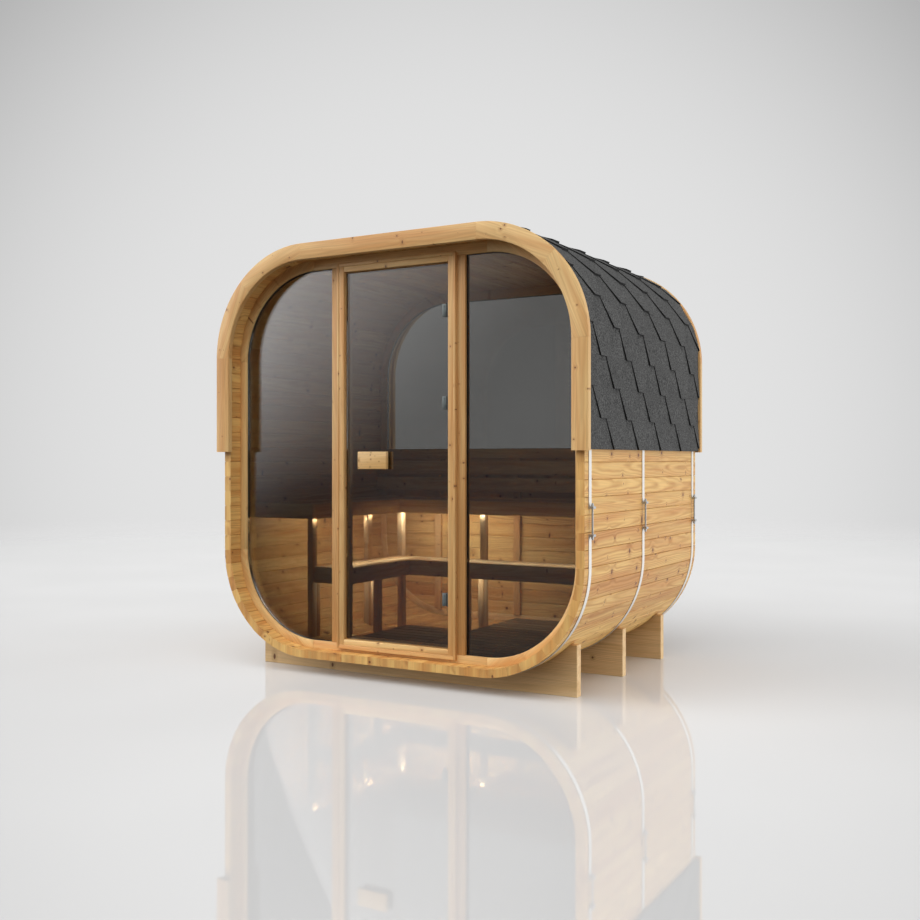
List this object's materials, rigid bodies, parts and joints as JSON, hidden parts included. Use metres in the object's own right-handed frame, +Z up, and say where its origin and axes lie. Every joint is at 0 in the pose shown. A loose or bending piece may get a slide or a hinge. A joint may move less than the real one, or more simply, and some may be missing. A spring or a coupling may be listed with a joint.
{
  "type": "cube sauna",
  "caption": "Round-cornered timber stave sauna on cradles, with a shingled top, a glazed front with a hinged glass door, a rear window and two-level benches.",
  "frame": {"origin": "on the ground, under the middle of the building's overall box", "axes": "+Z up, -Y out of the front wall with the glass door, +X towards the side that the door is hinged on (the right, seen from the front)"},
  "size_m": [2.06, 1.556, 2.118],
  "materials": {
    "stave_wood": "planed softwood with a clear oil finish",
    "trim_wood": "smooth-planed softwood with a clear oil finish",
    "cradle_wood": "sawn softwood, left without a finish",
    "bench_wood": "pale knotty softwood, planed and sanded smooth, left without a finish",
    "grid_wood": "planed softwood, heat-treated dark brown",
    "handle_wood": "pale softwood, sanded smooth",
    "bitumen_shingle": "charcoal mineral-granule bitumen shingle",
    "steel_strap": "stainless band, light satin",
    "threaded_steel": "zinc-plated steel, satin",
    "tinted_glass": "bronze-grey tinted toughened glass, reflective",
    "hinge_chrome": "satin nickel plates with blackened barrels",
    "light_diffuser": "opal light diffuser, lit white"
  },
  "bodies": {
    "building": {"floor_staves": "stave_wood", "ceiling_staves": "stave_wood", "side_wall_staves": "stave_wood", "lower_corner_staves": "stave_wood", "upper_corner_staves": "stave_wood", "cradles": "cradle_wood", "strap_bands": "steel_strap", "strap_tensioners": "threaded_steel", "roof_shingles": "bitumen_shingle", "front_fascia_top": "trim_wood", "front_fascia_curves": "trim_wood", "front_fascia_sides": "trim_wood", "rear_fascia_top": "trim_wood", "rear_fascia_curves": "trim_wood", "rear_fascia_sides": "trim_wood", "front_frame_bars": "trim_wood", "front_frame_corners": "trim_wood", "side_panes": "tinted_glass", "door_posts": "trim_wood", "door_rails": "trim_wood", "door_casing_stiles": "trim_wood", "door_casing_rails": "trim_wood", "door_stops": "trim_wood", "door_hinge_leaves": "hinge_chrome", "rear_frame_bars": "trim_wood", "rear_frame_corners": "trim_wood", "rear_wall_boards": "stave_wood", "rear_wall_battens": "trim_wood", "rear_window_rail": "trim_wood", "rear_window_glass": "tinted_glass", "upper_bench_slats": "bench_wood", "upper_bench_aprons": "bench_wood", "lower_bench_slats": "bench_wood", "lower_bench_aprons": "bench_wood", "bench_bearers": "bench_wood", "bench_posts": "bench_wood", "lower_bench_legs": "bench_wood", "backrest_boards": "bench_wood", "backrest_uprights": "bench_wood", "bench_light_strips": "light_diffuser", "floor_grids": "grid_wood"},
    "door": {"door_glass": "tinted_glass", "door_outer_handle": "handle_wood", "door_inner_handle": "handle_wood", "door_hinge_clamps": "hinge_chrome"}
  },
  "joints": [
    {"name": "door_hinge", "type": "hinge", "parent": "building", "child": "door", "pos_m": [0.285, -0.678, 1.0735], "axis": [0, 0, 1], "range_deg": [0, 100]}
  ]
}
